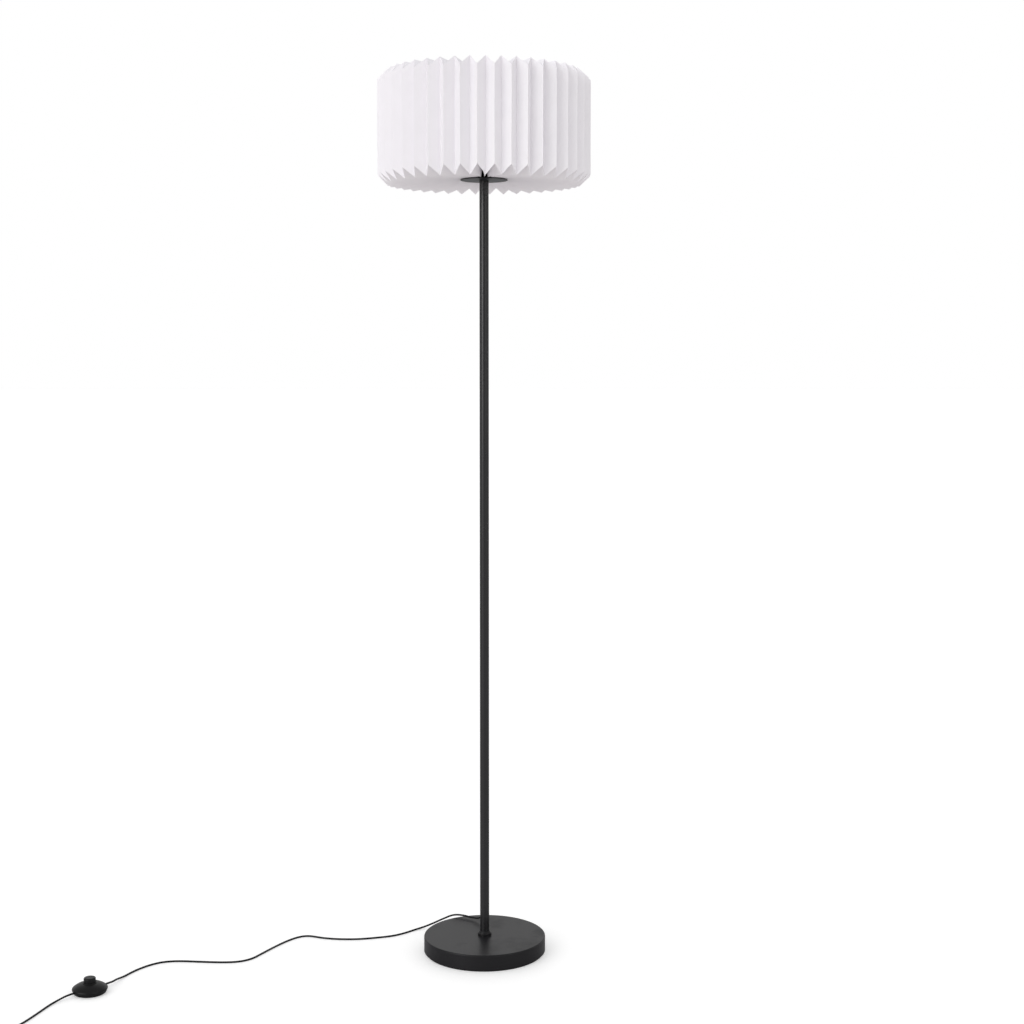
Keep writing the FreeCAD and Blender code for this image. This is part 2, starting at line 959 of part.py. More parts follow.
# The route's points, chosen by hand: out of the relief, over the base's edge and
# along the floor to the foot switch, then on to where the coil starts.
LAMP_TO_SWITCH = [
    (0.0, 28.0, 55.0),
    (0.0, 41.0, 55.0),
    (-3.0, 53.0, 46.0),
    (-10.0, 65.0, 35.5),
    (-24.0, 79.0, 32.0),
    (-40.0, 89.5, 33.0),
    (-58.0, 98.0, 31.5),
    (-76.0, 104.5, 22.0),
    (-95.0, 111.5, 11.0),
    (-112.0, 113.0, 3.5),
    (-128.0, 104.0, 1.6),
    (-147.0, 83.5, 1.6),
    (-168.0, 69.0, 1.6),
    (-192.0, 61.5, 1.6),
    (-224.0, 53.0, 1.6),
    (-258.0, 52.5, 1.6),
    (-288.0, 58.0, 1.6),
    (-305.0, 66.0, 1.6),
    (-320.0, 71.0, 1.6),
    (-336.0, 64.0, 1.6),
    (-354.0, 42.0, 1.6),
    (-372.0, 11.0, 1.6),
    (-388.0, -20.0, 1.6),
    (-401.0, -46.0, 1.6),
    (-420.0, -60.0, 1.6),
    (-446.0, -63.5, 1.6),
    (-486.0, -60.5, 1.6),
    (-526.0, -56.0, 1.6),
    (-553.0, -61.0, 1.6),
    (-573.0, -77.0, 1.6),
    (-591.0, -102.0, 1.6),
    (-603.5, -131.0, 1.7),
    (-611.0, -151.5, 5.0),
    (-613.84, -167.44, 6.5),
    (-623.74, -177.34, 6.5),
]
SWITCH_TO_COIL = [
    (-663.06, -216.66, 6.5),
    (-672.25, -225.85, 6.5),
    (-684.0, -238.0, 3.2),
    (-694.0, -256.0, 1.6),
    (-701.0, -282.0, 1.6),
    (-708.5, -308.0, 1.6),
    (-716.0, -331.5, 1.7),
    (-727.5, -355.5, 2.2),
    (-737.0, -384.0, 2.4),
]

COIL_LAYERS = (9, 9, 9, 8)  # quarter turns in each layer, drawn in and out by turns
COIL_RADIUS = 23.2
COIL_STEP = 1.12  # how far a quarter turn draws in
COIL_RISE = 3.8  # from one layer to the next


def arc_from(start, along, end):
    """The arc that leaves start in a direction and reaches end."""
    chord = end - start
    reach = chord.Length
    unit = chord * (1 / reach)
    side = along - unit * along.dot(unit)
    if side.Length < 1e-9:
        return Part.LineSegment(start, end).toShape()
    bulge = reach / 2 * math.tan(unit.getAngle(along) / 2)
    middle = (start + end) * 0.5 + side.normalize() * bulge
    return Part.Arc(start, middle, end).toShape()


def biarc(start, leaving, end, arriving):
    """Two arcs that share a tangent where they meet."""
    gap = end - start
    both = leaving + arriving
    bend = 2 * (1 - leaving.dot(arriving))
    lean = gap.dot(both)
    square = gap.dot(gap)
    reach = (-lean + math.sqrt(lean**2 + bend * square)) / bend
    meeting = (start + leaving * reach + end - arriving * reach) * 0.5
    crossing = (end - arriving * reach - start - leaving * reach).normalize()
    return [arc_from(start, leaving, meeting), arc_from(meeting, crossing, end)]


def coil_spots():
    """The coil's quarter-turn points: angle turned, radius and rise."""
    spots = [(0.0, COIL_RADIUS, 0.0)]
    inward = -1
    for layer, quarters in enumerate(COIL_LAYERS):
        for _ in range(quarters):
            turned_by, radius, rise = spots[-1]
            spots.append((turned_by + 90, radius + inward * COIL_STEP, rise))
        if layer < len(COIL_LAYERS) - 1:
            for _ in range(2):
                turned_by, radius, rise = spots[-1]
                spots.append((turned_by + 90, radius, rise + COIL_RISE / 2))
        inward = -inward
    return spots


def make_coil(start, heading):
    """Winds the cord that is put away, anticlockwise from a point and heading."""
    centre = start + Vector(math.cos(heading + math.pi / 2), math.sin(heading + math.pi / 2), 0) * COIL_RADIUS
    points = []
    for turned_by, radius, rise in coil_spots():
        angle = heading - math.pi / 2 + math.radians(turned_by)
        points.append(centre + Vector(radius * math.cos(angle), radius * math.sin(angle), rise))
    first = Vector(math.cos(heading), math.sin(heading), 0)
    last_angle = heading + math.radians(coil_spots()[-1][0])
    last = Vector(math.cos(last_angle), math.sin(last_angle), 0)
    tangents = [first]
    for before, after in zip(points, points[2:]):
        tangents.append((after - before).normalize())
    tangents.append(last)
    edges = []
    for index in range(len(points) - 1):
        edges += biarc(points[index], tangents[index], points[index + 1], tangents[index + 1])
    radius = size("cord_radius").number
    solid = tube_along(edges, radius)
    length = sum(edge.Length for edge in edges)
    exact = math.pi * radius**2 * length
    print(f"cord_coil: length {length:.1f}, volume ratio {solid.Volume / exact:.4f}")
    print(f"cord_coil: least gap to itself {least_gap(edges, radius):.2f}")
    piece = doc.addObject("Part::Feature", "cord_coil")
    piece.Shape = solid
    keep(piece, "cord_coil")
    return centre, points[-1], last


def least_gap(edges, radius):
    """The least air between two stretches of one tube, measured on points of its path."""
    walk, samples = 0.0, []
    for edge in edges:
        for point in edge.discretize(Number=5)[:-1]:
            samples.append((walk, point))
        walk += edge.Length
    apart = 6 * radius * math.pi
    gaps = [
        (q - p).Length - 2 * radius
        for i, (at, p) in enumerate(samples)
        for later, q in samples[i + 1 :]
        if later - at > apart
    ]
    return min(gaps)


def make_tie(centre):
    """A flat band round the coil's turns, on the side away from where the cord leaves."""
    inner = COIL_RADIUS - max(COIL_LAYERS) * COIL_STEP - size("cord_radius").number - 0.8
    outer = COIL_RADIUS + size("cord_radius").number + 0.8
    floor_gap = 0.6
    height = (len(COIL_LAYERS) - 1) * COIL_RISE + 2.4 + size("cord_radius").number + 0.5
    thick = 0.7
    body = new_body("coil_tie")
    sketch = add_sketch(body, "XZ_Plane")
    bend = 1.5

    def rounded(low_x, high_x, low_z, high_z, corner):
        return [
            (low_x + corner, low_z),
            (high_x - corner, low_z),
            (high_x, low_z + corner, corner),
            (high_x, high_z - corner),
            (high_x - corner, high_z, corner),
            (low_x + corner, high_z),
            (low_x, high_z - corner, corner),
            (low_x, low_z + corner),
            (low_x + corner, low_z, corner),
        ][:8] + []

    draw_closed(sketch, rounded(inner - thick, outer + thick, 0.0, height + thick, bend + thick))
    draw_closed(sketch, rounded(inner, outer, floor_gap, height, bend))
    feature = pad(body, sketch, 5.0, -2.5)
    feature.Reversed = False
    body.Placement = Placement(Vector(centre.x, centre.y, 0), Rotation(UP, -20))
    return body


def draw_closed(sketch, corners):
    """A rounded box's outline: the side that returns to the first corner is an arc."""
    first = corners[0]
    radius = abs(corners[2][2])
    start_index = sketch.GeometryCount
    draw_outline_from(sketch, [(*first[:2], radius)] + corners[1:], start_index)


def draw_outline_from(sketch, corners, _start):
    draw_outline(sketch, corners)


def make_plug(nose, heading):
    """A flat two-pin plug lying on the floor, its pins pointing along the heading."""
    half = size("plug_width") / 2
    length = size("plug_length")
    height = size("plug_height")
    body = new_body("plug_body")
    sketch = add_sketch(body, "XY_Plane")
    draw_outline(
        sketch,
        [
            (0, -5),
            (6, -6),
            (16, -half),
            (length, -half),
            (length, half),
            (16, half),
            (6, 6),
            (0, 5),
        ],
    )
    block = pad(body, sketch, height)
    doc.recompute()
    edges = [f"Edge{i + 1}" for i, edge in enumerate(block.Shape.Edges)]
    rounding = body.newObject("PartDesign::Fillet", "plug_rounding")
    rounding.Base = (block, edges)
    rounding.Radius = 1.8
    middle = size("plug_height") / 2
    relief = turned(
        "plug_relief",
        [
            (size("cord_radius") + snug, -14),
            (size("cord_radius") + 0.9, -14),
            (4.4, -0.1),
            (size("cord_radius") + snug, -0.1),
        ],
    )
    pins, sleeves = [], []
    for side in (-1, 1):
        across = side * size("pin_spacing").number / 2
        pin = cylinder(f"pin_{side + 1}", size("pin_radius"), size("pin_length") - 10, 0)
        sleeve = cylinder(f"pin_sleeve_{side + 1}", size("pin_radius") - 0.1, 10, 0)
        for rod, start in ((pin, length + 10), (sleeve, length)):
            rod.setExpression("Placement.Base.z", None)
            rod.Placement = Placement(
                Vector(start.number, across, middle.number), Rotation(Vector(0, 1, 0), 90)
            )
        pins.append(pin)
        sleeves.append(sleeve)
    turn = Rotation(UP, math.degrees(heading))
    floor_place = Vector(nose.x, nose.y, 0)
    for piece in (body, group("plug_pins", pins), group("plug_pin_sleeves", sleeves)):
        piece.Placement = Placement(floor_place, turn)
    relief.Placement = Placement(
        floor_place + Vector(0, 0, middle.number), turn * Rotation(Vector(0, 1, 0), 90)
    )


def make_cords():
    lead_offset = size("lead_offset").number
    outlet = size("outlet_height").number
    cord(
        "inner_lead",
        [
            (0, 28.0, outlet),
            (0, -lead_offset, outlet),
            (0, -lead_offset, outlet + 60),
            (0, 0, outlet + 150),
            (0, 0, lead_top.number),
        ],
        size("lead_bend").number,
    )
    cord("cord_to_switch", LAMP_TO_SWITCH)
    cord("cord_from_switch", SWITCH_TO_COIL)
    before, start = (Vector(*point) for point in SWITCH_TO_COIL[-2:])
    run = start - before
    heading = math.atan2(run.y, run.x)
    centre, end, along = make_coil(start, heading)
    make_tie(centre)
    middle = size("plug_height").number / 2
    tail = [(end + along * reach).x for reach in (0, 9, 24, 40, 50)]
    across = [(end + along * reach).y for reach in (0, 9, 24, 40, 50)]
    levels = (end.z, end.z, end.z - 2.2, middle + 0.4, middle)
    cord("cord_to_plug", list(zip(tail, across, levels)))
    nose = end + along * 64
    make_plug(nose, math.atan2(along.y, along.x))


# ---------------------------------------------------------------- doc checks and files


def write_pieces():
    doc.recompute()
    for item in doc.Objects:
        if "Invalid" in item.State or "Error" in item.State:
            raise RuntimeError(f"{item.Label} failed: {item.State}")
    for piece in pieces:
        if piece.Shape.isNull() or not piece.Shape.isValid():
            raise RuntimeError(f"{piece.Label} has no sound shape")
        piece.Shape.exportStep(f"parts/{piece.Label}.step")
    print(f"{len(pieces)} pieces written")


def build():
    make_base_cover()
    make_base_weight()
    make_base_pad()
    make_pole_collar()
    make_foot_fixings()
    make_pole()
    make_pole_joints()
    make_cord_relief()
    make_shade_support()
    make_lampholder()
    make_bulb()
    make_paper_shade()
    make_shade_rings()
    make_foot_switch()
    make_cords()
    write_pieces()


build()
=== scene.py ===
"""A floor lamp with a pleated paper lantern: shade, cord, finishes and studio."""

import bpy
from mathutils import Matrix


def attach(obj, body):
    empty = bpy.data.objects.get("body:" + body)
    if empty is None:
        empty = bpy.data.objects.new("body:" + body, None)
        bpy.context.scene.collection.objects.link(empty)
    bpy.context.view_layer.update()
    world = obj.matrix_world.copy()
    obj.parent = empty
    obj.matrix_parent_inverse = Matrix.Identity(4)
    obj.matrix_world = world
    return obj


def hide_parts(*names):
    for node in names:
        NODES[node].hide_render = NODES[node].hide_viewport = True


bl_info = {
    "name": "Paper Lantern Floor Lamp",
    "version": (1, 0, 0),
    "blender": (4, 5, 0),
    "location": "3D View > Sidebar > Lantern Lamp",
    "description": "Folds the paper shade, lays the cord and finishes every piece",
    "category": "Add Mesh",
}

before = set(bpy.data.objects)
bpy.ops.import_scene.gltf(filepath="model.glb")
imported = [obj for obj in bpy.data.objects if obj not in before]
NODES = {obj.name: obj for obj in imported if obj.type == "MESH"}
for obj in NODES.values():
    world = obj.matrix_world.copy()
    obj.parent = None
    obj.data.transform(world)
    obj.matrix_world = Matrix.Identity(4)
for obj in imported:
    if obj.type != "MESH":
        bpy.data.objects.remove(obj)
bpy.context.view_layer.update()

import math

import bpy
from bpy.props import FloatProperty, FloatVectorProperty, IntProperty, PointerProperty
from mathutils import Vector, noise

MM = 0.001

# ------------------------------------------------------------------ sizes and colours


def length(label, note, millimetres):
    return FloatProperty(
        name=label, description=note, default=millimetres * MM, unit="LENGTH", precision=4
    )


def colour(label, note, red, green, blue):
    return FloatVectorProperty(
        name=label, description=note, default=(red, green, blue), subtype="COLOR", min=0, max=1
    )


class ShadeSizes(bpy.types.PropertyGroup):
    pleats: IntProperty(name="Pleats", description="Outward folds round the shade", default=41)
    first_fold: FloatProperty(
        name="First fold",
        description="Turn from the front to the first outward fold",
        default=math.radians(6.3),
        unit="ROTATION",
    )
    ridge: length("Ridge radius", "From the axis to the outward folds", 182.5)
    valley: length("Valley radius", "From the axis to the inward folds", 166.0)
    hole: length("Hole radius", "The hole that the fans gather at", 35.0)
    seat_edge: length("Seat radius", "Where the lower fan meets the disc", 40.5)
    top: length("Top", "Height of the upper rim's points", 1524.8)
    bottom: length("Bottom", "Height of the lower rim's points", 1333.8)
    tuck: length("Tuck", "How far a rim's outward folds stop short of its points", 16.0)
    crown: length("Crown", "Height of the upper fan's folds at the hole", 1518.8)
    seat: length("Seat", "Height of the lower fan's folds on the disc", 1343.4)
    fan: length("Fan depth", "Depth of the gathered folds at the hole", 20.5)
    paper: length("Paper", "Thickness of the paper", 0.4)
    wander: length("Wander", "How far a hand-made fold strays from its line", 0.45)
    puff: length("Puff", "How far a panel bows between its folds", 0.5)
    sheet: colour("Paper colour", "Bleached washi paper", 0.885, 0.868, 0.9)


class CordSizes(bpy.types.PropertyGroup):
    radius: length("Radius", "Half the cord's thickness", 1.6)
    near_length: length("To the switch", "Cord between the pole and the foot switch", 835)
    far_length: length("To the plug", "Cord between the foot switch and the plug", 1384)
    coil: length("Coil radius", "Radius of the coil's outer turns", 23.2)
    step: length("Turn step", "How far a quarter turn moves in or out", 1.12)
    rise: length("Layer rise", "Height from one layer of turns to the next", 3.8)
    sheath: colour("Sheath colour", "Black vinyl", 0.007, 0.007, 0.008)


class StageSettings(bpy.types.PropertyGroup):
    place: FloatVectorProperty(
        name="Camera place",
        description="Where the camera stands",
        default=(0.04792, -2.89851, 1.03196),
        subtype="TRANSLATION",
    )
    tilt: FloatProperty(
        name="Tilt",
        description="How far the camera looks down",
        default=math.radians(3.0319),
        unit="ROTATION",
    )
    lens: FloatProperty(
        name="Lens", description="Focal length", default=59.0769, unit="CAMERA"
    )
    drop: FloatProperty(name="Drop", description="Lens shift towards the floor", default=0.06)
    ambient: FloatProperty(
        name="Ambient", description="Light from all round", default=1.0, min=0
    )
    key: FloatProperty(name="Key", description="Soft light from the front left", default=0.8)
    lift: FloatProperty(name="Lift", description="Brightness added to the floor", default=0.3)


# ------------------------------------------------------------------ shader maths


class Signal:
    """A shader socket that Python's operators work on."""

    def __init__(self, finish, socket):
        self.finish = finish
        self.socket = socket

    def maths(self, operation, first, second=0.0):
        settings = {"operation": operation}
        return self.finish.add("ShaderNodeMath", settings, {0: first, 1: second})

    def __add__(self, other):
        return self.maths("ADD", self, other)

    __radd__ = __add__

    def __sub__(self, other):
        return self.maths("SUBTRACT", self, other)

    def __rsub__(self, other):
        return self.maths("SUBTRACT", other, self)

    def __mul__(self, other):
        return self.maths("MULTIPLY", self, other)

    __rmul__ = __mul__

    def most(self, other):
        return self.maths("MAXIMUM", self, other)

    def wave(self):
        return self.maths("SINE", self)

    def step(self, low, high):
        """Rises smoothly from 0 at low to 1 at high."""
        return self.finish.add(
            "ShaderNodeMapRange",
            {"interpolation_type": "SMOOTHSTEP"},
            {0: self, 1: low, 2: high, 3: 0.0, 4: 1.0},
        )


class Finish:
    """A material built node by node."""

    def __init__(self, owner):
        self.owner = owner
        owner.use_nodes = True
        self.tree = owner.node_tree
        self.tree.nodes.clear()

    def add(self, kind, settings=None, inputs=None, output=0):
        """Adds a node, with its own settings first, then its sockets' values and links."""
        node = self.tree.nodes.new(kind)
        for name, value in (settings or {}).items():
            setattr(node, name, value)
        for name, value in (inputs or {}).items():
            if isinstance(value, Signal):
                self.tree.links.new(value.socket, node.inputs[name])
            elif isinstance(value, (tuple, Vector)) and len(value) == 3:
                size = len(node.inputs[name].default_value)
                node.inputs[name].default_value = (*value, 1)[:size]
            else:
                node.inputs[name].default_value = value
        return Signal(self, node.outputs[output]) if node.outputs else None

    def place(self, kind=3):
        """Where a point of the piece is, or with 0 which way a ray leaves the room."""
        return self.add("ShaderNodeTexCoord", output=kind)

    def grey(self, value):
        return self.add("ShaderNodeCombineColor", None, {0: value, 1: value, 2: value})

    def parts(self, kind=3):
        """A place's X, Y and Z as three signals."""
        split = self.add("ShaderNodeSeparateXYZ", None, {0: self.place(kind)})
        outputs = split.socket.node.outputs
        return [Signal(self, outputs[index]) for index in range(3)]

    def speckle(self, scale, detail=3.0, roughness=0.55, stretch=(1, 1, 1)):
        """Soft noise, finer along an axis whose stretch is larger."""
        spot = self.add(
            "ShaderNodeVectorMath",
            {"operation": "MULTIPLY"},
            {0: self.place(), 1: stretch},
        )
        return self.add(
            "ShaderNodeTexNoise",
            None,
            {"Vector": spot, "Scale": scale, "Detail": detail, "Roughness": roughness},
        )

    def cells(self, scale, feature="F1", output=0):
        return self.add(
            "ShaderNodeTexVoronoi",
            {"feature": feature},
            {"Vector": self.place(), "Scale": scale},
            output,
        )

    def blend(self, factor, first, second):
        return self.add(
            "ShaderNodeMix", {"data_type": "RGBA"}, {0: factor, 6: first, 7: second}, 2
        )

    def bump(self, height, depth, strength=1.0):
        return self.add(
            "ShaderNodeBump", None, {"Height": height, "Distance": depth, "Strength": strength}
        )

    def coat(self, **sockets):
        """Ends the material in one Principled shader."""
        named = {name.replace("_", " "): value for name, value in sockets.items()}
        shader = self.add("ShaderNodeBsdfPrincipled", None, named)
        self.add("ShaderNodeOutputMaterial", None, {0: shader})
        return self.owner


def new_finish(name):
    return Finish(bpy.data.materials.new(name))


def dimmed(tone, factor):
    return tuple(part * factor for part in tone)


# ------------------------------------------------------------------ finishes


def washi():
    """Bleached paper: long soft fibres, faint clouding, a dry surface."""
    made = new_finish("washi")
    tone = tuple(bpy.context.scene.lantern_shade.sheet)
    fibres = made.speckle(420, 6, 0.7, (1, 1, 0.25))
    clouds = made.speckle(26, 3)
    flecks = made.cells(900).step(0.0, 0.42)
    shade = made.blend(clouds.step(0.3, 0.75) * 0.5, dimmed(tone, 0.975), tone)
    shade = made.blend(fibres.step(0.62, 0.8) * 0.16, shade, dimmed(tone, 0.93))
    relief = fibres * 0.7 + clouds * 0.6 + flecks * 0.12
    return made.coat(
        Base_Color=shade, Roughness=0.86, Normal=made.bump(relief, 0.00022, 0.5)
    )


def satin_paint(name, tone, gloss, peel, shine=0.3):
    """Sprayed paint with orange peel, fine dust and a few rubbed spots."""
    made = new_finish(name)
    peels = made.speckle(700, 2)
    dust = made.speckle(2600, 2, 0.7).step(0.66, 0.8)
    worn = made.speckle(18, 5, 0.6).step(0.5, 0.72)
    shade = made.blend(dust * 0.25, tone, tuple(part + 0.05 for part in tone))
    return made.coat(
        Base_Color=shade,
        Roughness=gloss + worn * 0.08 + dust * 0.1,
        Specular_IOR_Level=shine,
        Normal=made.bump(peels, peel, 0.6),
    )


def moulded(name, tone, gloss, grain=1500.0, depth=0.00006, shine=0.4):
    """Moulded plastic with spark-eroded grain."""
    made = new_finish(name)
    pits = made.cells(grain, "SMOOTH_F1")
    drift = made.speckle(60, 3)
    shade = made.blend(drift.step(0.35, 0.7) * 0.5, tone, dimmed(tone, 1.25))
    return made.coat(
        Base_Color=shade,
        Roughness=gloss + drift * 0.1,
        Specular_IOR_Level=shine,
        Normal=made.bump(pits, depth, 0.5),
    )


def brushed_metal(name, tone, gloss, spangle=0.0):
    """Plated metal with fine turning marks, and crystal grains where there is spangle."""
    made = new_finish(name)
    marks = made.speckle(260, 4, 0.6, (1, 1, 14))
    shade = made.blend(marks * (0.25 + spangle), tone, dimmed(tone, 0.72))
    if spangle:
        shade = made.blend(spangle, shade, made.cells(420, output=1))
        shade = made.blend(0.75, shade, tone)
    return made.coat(
        Base_Color=shade,
        Metallic=1.0,
        Roughness=gloss + marks * 0.12,
        Normal=made.bump(marks, 0.00003, 0.4),
    )


def cast_stone():
    """The ballast: grey cement with sand and small holes, the holes darkened with painted shade.
    """
    made = new_finish("cast_stone")
    sand = made.speckle(900, 5, 0.75)
    holes = made.cells(170).step(0.0, 0.22)
    damp = made.speckle(12, 3)
    shade = made.blend(damp.step(0.35, 0.7), (0.33, 0.325, 0.31), (0.42, 0.41, 0.39))
    # painted shade: the small holes are blended to near black for the shade inside each pit
    shade = made.blend((1 - holes) * 0.6, shade, (0.16, 0.155, 0.15))
    return made.coat(
        Base_Color=shade, Roughness=0.92, Normal=made.bump(sand * 0.5 + holes, 0.0006, 0.7)
    )


def foam():
    """The base pad: dark closed cells."""
    made = new_finish("foam")
    bubbles = made.cells(1100, "SMOOTH_F1")
    shade = made.blend(bubbles.step(0.2, 0.7), (0.008, 0.008, 0.009), (0.024, 0.024, 0.026))
    return made.coat(
        Base_Color=shade, Roughness=0.95, Normal=made.bump(bubbles, 0.0003, 0.8)
    )


def glazed_ceramic():
    """The lampholder core: off-white glaze that pools a little."""
    made = new_finish("glazed_ceramic")
    pool = made.speckle(90, 3)
    shade = made.blend(pool.step(0.35, 0.7) * 0.6, (0.77, 0.75, 0.69), (0.84, 0.82, 0.77))
    return made.coat(
        Base_Color=shade,
        Roughness=0.18 + pool * 0.1,
        Coat_Weight=0.4,
        Normal=made.bump(pool, 0.0001, 0.3),
    )


def opal():
    """The bulb's frosted globe, lamp off."""
    made = new_finish("opal")
    frost = made.speckle(3000, 3)
    haze = made.speckle(30, 2)
    shade = made.blend(haze.step(0.3, 0.7), (0.83, 0.83, 0.81), (0.87, 0.87, 0.86))
    return made.coat(
        Base_Color=shade,
        Roughness=0.34 + frost * 0.08,
        Subsurface_Weight=0.25,
        Subsurface_Radius=(0.006, 0.006, 0.006),
        Normal=made.bump(frost, 0.00002, 0.4),
    )


def printed_board():
    """A white circuit board with rows of small yellow emitters."""
    made = new_finish("printed_board")
    across, along, _up = made.parts()
    rows = (across * 700).wave() * (along * 700).wave()
    chips = rows.step(0.72, 0.8)
    weave = made.speckle(1600, 2)
    shade = made.blend(weave * 0.2, (0.78, 0.79, 0.76), (0.62, 0.64, 0.6))
    shade = made.blend(chips, shade, (0.72, 0.52, 0.09))
    return made.coat(
        Base_Color=shade, Roughness=0.4 + weave * 0.1, Normal=made.bump(chips, 0.0004, 0.6)
    )


def pulp_card():
    """The card rings: pressed pulp with darker specks."""
    made = new_finish("pulp_card")
    pulp = made.speckle(700, 6, 0.75, (1, 1, 3))
    specks = made.cells(480).step(0.0, 0.12)
    shade = made.blend(pulp.step(0.35, 0.7), (0.72, 0.69, 0.63), (0.82, 0.8, 0.75))
    shade = made.blend((1 - specks) * 0.4, shade, (0.45, 0.4, 0.33))
    return made.coat(
        Base_Color=shade, Roughness=0.93, Normal=made.bump(pulp, 0.0002, 0.6)
    )


def vinyl_sheath():
    """The cord: black vinyl, slightly scuffed."""
    made = new_finish("vinyl_sheath")
    tone = tuple(bpy.context.scene.lantern_cord.sheath)
    skin = made.speckle(1300, 3)
    scuffs = made.speckle(110, 5, 0.7).step(0.58, 0.72)
    shade = made.blend(scuffs * 0.35, tone, tuple(part + 0.008 for part in tone))
    return made.coat(
        Base_Color=shade,
        Roughness=0.4 + scuffs * 0.14,
        Specular_IOR_Level=0.25,
        Normal=made.bump(skin, 0.00006, 0.5),
    )


def woven_band():
    """The tie's hook-and-loop band."""
    made = new_finish("woven_band")
    loops = made.cells(2400, "SMOOTH_F1")
    tufts = made.speckle(500, 4, 0.7)
    shade = made.blend(tufts.step(0.3, 0.7), (0.009, 0.009, 0.01), (0.03, 0.03, 0.033))
    return made.coat(
        Base_Color=shade,
        Roughness=0.88,
        Sheen_Weight=0.35,
        Normal=made.bump(loops * 0.6 + tufts * 0.5, 0.0002, 0.8),
    )


def finish_table():
    """The finish of each CAD node that shows as it is."""
    black = (0.0095, 0.009, 0.0105)
    zinc = brushed_metal("zinc_plate", (0.6, 0.61, 0.63), 0.34, 0.2)
    brass = brushed_metal("drawn_brass", (0.78, 0.57, 0.25), 0.28)
    nickel = brushed_metal("nickel_plate", (0.72, 0.7, 0.66), 0.24)
    body = moulded("black_nylon", (0.016, 0.016, 0.017), 0.42)
    case = moulded("switch_case", (0.007, 0.007, 0.0075), 0.3, 1900.0, 0.00004, 0.25)
    white = moulded("white_nylon", (0.8, 0.8, 0.78), 0.42)
    sheath = vinyl_sheath()
    paint = satin_paint("satin_black", black, 0.36, 0.00009)
    tube_paint = satin_paint("pole_black", (0.012, 0.0118, 0.013), 0.24, 0.00004, 0.6)
    return {
        paint: "base_cover pole_collar support_disc",
        tube_paint: "pole_lower pole_middle pole_upper",
        cast_stone(): "base_weight",
        foam(): "base_pad",
        zinc: "foot_stud foot_washer foot_nut pole_joint_studs top_stud disc_locknut "
        "pole_inserts switch_clamp_screws switch_spring",
        body: "cord_relief holder_cap holder_shell plug_body plug_relief switch_block "
        "switch_cord_clamps",
        case: "switch_cover switch_base switch_button",
        glazed_ceramic(): "holder_core",
        brass: "holder_sleeve holder_centre_contact holder_terminal_screws bulb_contact "
        "plug_pins",
        nickel: "bulb_screw_cap",
        moulded("bulb_shell", (0.8, 0.8, 0.79), 0.38, 1200.0): "bulb_housing",
        moulded("cap_insulator", (0.02, 0.02, 0.022), 0.2): "bulb_cap_insulator",
        opal(): "bulb_globe",
        printed_board(): "bulb_led_board",
        pulp_card(): "shade_crown_ring shade_foot_ring",
        white: "plug_pin_sleeves",
        sheath: "inner_lead switch_leads",
    }


def dress(thing, material):
    thing.data.materials.clear()
    thing.data.materials.append(material)


# ------------------------------------------------------------------ the paper shade


def fold_line(sizes, outward):
    """One fold from the crown's hole to the foot's, as (radius, height) corners."""
    if outward:
        return [
            (sizes.hole, sizes.crown - sizes.fan),
            (sizes.ridge, sizes.top - sizes.tuck),
            (sizes.ridge, sizes.bottom + sizes.tuck),
            (sizes.seat_edge, sizes.seat + sizes.fan),
            (sizes.hole, sizes.seat + sizes.fan),
        ]
    return [
        (sizes.hole, sizes.crown),
        (sizes.valley, sizes.top),
        (sizes.valley, sizes.bottom),
        (sizes.seat_edge, sizes.seat),
        (sizes.hole, sizes.seat),
    ]


ROWS = (14, 18, 14, 2)  # rows of faces along each straight run of a fold
COLUMNS = 4  # faces from one fold to the next


def shade_rows(sizes):
    """Each row's place on both kinds of fold, its freedom to puff, and if it is a corner."""
    ridge, valley = fold_line(sizes, True), fold_line(sizes, False)
    rows = []
    for run, count in enumerate(ROWS):
        for row in range(count + (run == len(ROWS) - 1)):
            share = row / count
            spots = [
                tuple(a + (b - a) * share for a, b in zip(line[run], line[run + 1]))
                for line in (ridge, valley)
            ]
            rows.append((*spots, math.sin(math.pi * share), row == 0))
    return rows


def fold_spot(sizes, fold, level, angle, place, reach):
    """A fold's place on one row, strayed from its line as hand folding leaves it."""
    seed = Vector((fold * 1.7, level * 0.11, 3.0))
    stray = noise.noise(seed) * sizes.wander * reach
    swing = noise.noise(seed + Vector((9, 4, 7))) * sizes.wander * reach
    radius = min(place[0] + stray - sizes.wander * 0.4 * reach, sizes.ridge)
    spot = Vector((radius * math.cos(angle), radius * math.sin(angle), place[1]))
    return spot + Vector((-math.sin(angle), math.cos(angle), 0)) * swing


